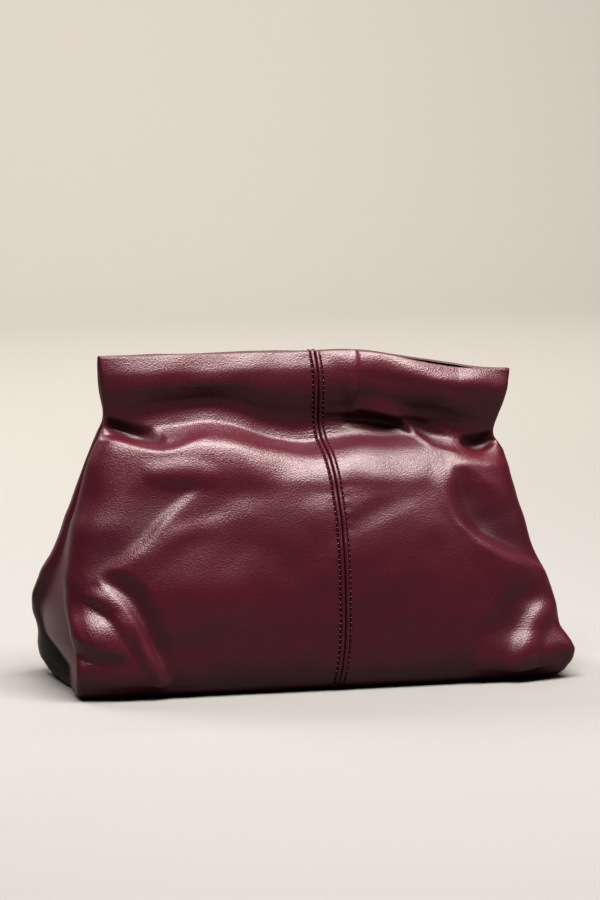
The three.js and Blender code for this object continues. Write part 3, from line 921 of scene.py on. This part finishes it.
class CLUTCH_OT_stitches(Operator):
    """Sews two rows of stitches beside the front and the back centre seam, with leather puffed between"""

    bl_idname = "clutch.stitches"
    bl_label = "Stitches"

    def execute(self, context):
        sizes, colours = sizes_and_colours(context)
        thread = thread_material(colours.thread)
        leather = leather_material(
            "Seam leather", colours.leather, colours.leather, gloss=0.16, dull=0.24, grain_depth=0.05
        )
        stitch = (sizes.thread / 2, sizes.stitch_length / 2, sizes.thread / 2)
        puff = (sizes.puff / 2, sizes.puff / 2, sizes.puff / PUFF_FLAT)
        for face_name, face in (("front", -1), ("back", 1)):
            rows = [
                list(stitch_places(side, face, folds, sizes))
                for _, side, panel_face, folds in PANELS
                if panel_face == face
            ]
            for kind, material, first, radii, slant, lift in (
                ("stitches", thread, 0, stitch, STITCH_SLANT, STITCH_LIFT * sizes.thread),
                ("puffs", leather, 1, puff, 0, PUFF_LIFT * sizes.puff),
            ):
                bm = bmesh.new()
                for places in rows:
                    sewn_row(bm, places[first::2], radii, slant, lift)
                bmesh.ops.recalc_face_normals(bm, faces=bm.faces)
                piece = new_object(f"{face_name}_seam_{kind}", bm, material)
                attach(piece, "root")
        return {"FINISHED"}


def paper_material(colour):
    """Pale paper, with painted shade darkening the floor in front, out of view."""
    material, tree, shader = new_material("Paper sweep")
    link = tree.links.new
    place = node(tree, "ShaderNodeTexCoord")
    split = node(tree, "ShaderNodeSeparateXYZ")
    # Painted shade: the floor's colour fades to dark towards the front
    fade = node(tree, "ShaderNodeMapRange", interpolation_type="SMOOTHSTEP")
    fade.inputs["From Min"].default_value = FLOOR_SHADE_SPAN[0]
    fade.inputs["From Max"].default_value = FLOOR_SHADE_SPAN[1]
    paper = node(tree, "ShaderNodeMix", data_type="RGBA")
    paper.inputs[MIX_A].default_value = FLOOR_SHADE_COLOUR
    paper.inputs[MIX_B].default_value = (*colour, 1)
    link(place.outputs["Object"], split.inputs[0])
    link(split.outputs["Y"], fade.inputs["Value"])
    link(fade.outputs["Result"], paper.inputs["Factor"])
    link(paper.outputs[MIX_RESULT], shader.inputs["Base Color"])
    shader.inputs["Roughness"].default_value = 0.9
    return material


def paper_sweep(colour):
    """The floor, which curves up behind the bag into a backdrop."""
    bm = bmesh.new()
    bmesh.ops.create_grid(bm, x_segments=1, y_segments=1, size=FLOOR_HALF)
    back = max(bm.edges, key=lambda edge: sum(vert.co.y for vert in edge.verts))
    for vert in back.verts:
        vert.co.y = SWEEP_START
    profile = [
        (SWEEP_RADIUS * math.sin(a), SWEEP_RADIUS * (1 - math.cos(a)))
        for a in np.linspace(0, math.pi / 2, SWEEP_STEPS)[1:]
    ]
    last = (0.0, 0.0)
    edges = [back]
    for y, z in profile + [(SWEEP_RADIUS, WALL_TOP)]:
        made = bmesh.ops.extrude_edge_only(bm, edges=edges)["geom"]
        verts = [part for part in made if isinstance(part, bmesh.types.BMVert)]
        edges = [
            part
            for part in made
            if isinstance(part, bmesh.types.BMEdge) and all(vert in verts for vert in part.verts)
        ]
        bmesh.ops.translate(bm, verts=verts, vec=(0, y - last[0], z - last[1]))
        last = (y, z)
    return new_object("floor_sweep", bm, paper_material(colour))


def soft_box(name, place, target, size, power, colour):
    """A rectangular soft light that faces a point."""
    light = bpy.data.lights.new(name, "AREA")
    light.shape = "RECTANGLE"
    light.size, light.size_y = size
    light.energy = power
    light.color = colour
    lamp = bpy.data.objects.new(name, light)
    lamp.location = place
    lamp.rotation_euler = (Vector(target) - Vector(place)).to_track_quat("-Z", "Y").to_euler()
    bpy.context.scene.collection.objects.link(lamp)


def photo_camera():
    """The camera, at the photo's viewing angle."""
    camera = bpy.data.cameras.new("Photo camera")
    camera.lens = CAMERA_LENS
    camera.sensor_width = CAMERA_SENSOR
    camera.clip_end = 50
    view = bpy.data.objects.new("Photo camera", camera)
    back_to = Vector((
        math.sin(CAMERA_TURN) * math.cos(CAMERA_RISE),
        -math.cos(CAMERA_TURN) * math.cos(CAMERA_RISE),
        math.sin(CAMERA_RISE),
    ))
    view.location = Vector(CAMERA_TARGET) + CAMERA_AWAY * back_to
    view.rotation_euler = (-back_to).to_track_quat("-Z", "Y").to_euler()
    bpy.context.scene.collection.objects.link(view)
    return view


class CLUTCH_OT_stage(Operator):
    """Sets the pale floor and backdrop, the soft lights and the camera"""

    bl_idname = "clutch.stage"
    bl_label = "Stage"

    def execute(self, context):
        _, colours = sizes_and_colours(context)
        scene = context.scene
        floor = paper_sweep(colours.floor)
        floor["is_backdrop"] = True
        for light in LIGHTS:
            soft_box(*light)
        scene.world = bpy.data.worlds.new("Studio air")
        scene.world.use_nodes = True
        air = scene.world.node_tree.nodes["Background"]
        air.inputs["Color"].default_value = AIR_WHITE
        air.inputs["Strength"].default_value = AIR_STRENGTH
        scene.view_settings.view_transform = "Standard"
        scene.view_settings.look = "High Contrast"
        scene.camera = photo_camera()
        return {"FINISHED"}


class CLUTCH_PT_panel(Panel):
    """Lists the bag's pieces, sizes and colours"""

    bl_label = "Leather clutch"
    bl_idname = "CLUTCH_PT_panel"
    bl_space_type = "VIEW_3D"
    bl_region_type = "UI"
    bl_category = "Clutch"

    def draw(self, context):
        for operator in PIECES:
            self.layout.operator(operator.bl_idname)
        for group in sizes_and_colours(context):
            for name in group.bl_rna.properties.keys():
                if name not in {"rna_type", "name"}:
                    self.layout.prop(group, name)


PIECES = (CLUTCH_OT_stage, CLUTCH_OT_panels, CLUTCH_OT_base, CLUTCH_OT_snap, CLUTCH_OT_stitches)
CLASSES = (ClutchSizes, ClutchColours, *PIECES, CLUTCH_PT_panel)


def register():
    for cls in CLASSES:
        bpy.utils.register_class(cls)
    bpy.types.Scene.clutch_sizes = PointerProperty(type=ClutchSizes)
    bpy.types.Scene.clutch_colours = PointerProperty(type=ClutchColours)


def unregister():
    del bpy.types.Scene.clutch_colours
    del bpy.types.Scene.clutch_sizes
    for cls in reversed(CLASSES):
        bpy.utils.unregister_class(cls)


def main():
    register()
    bpy.ops.clutch.stage()
    bpy.ops.clutch.panels()
    bpy.ops.clutch.base()
    bpy.ops.clutch.snap()
    bpy.ops.clutch.stitches()
    boxes = {"cad": CAD_BOX, "visual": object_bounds()}
    {name: [list(corner) for corner in box] for name, box in boxes.items()}


if __name__ == "__main__":
    main()
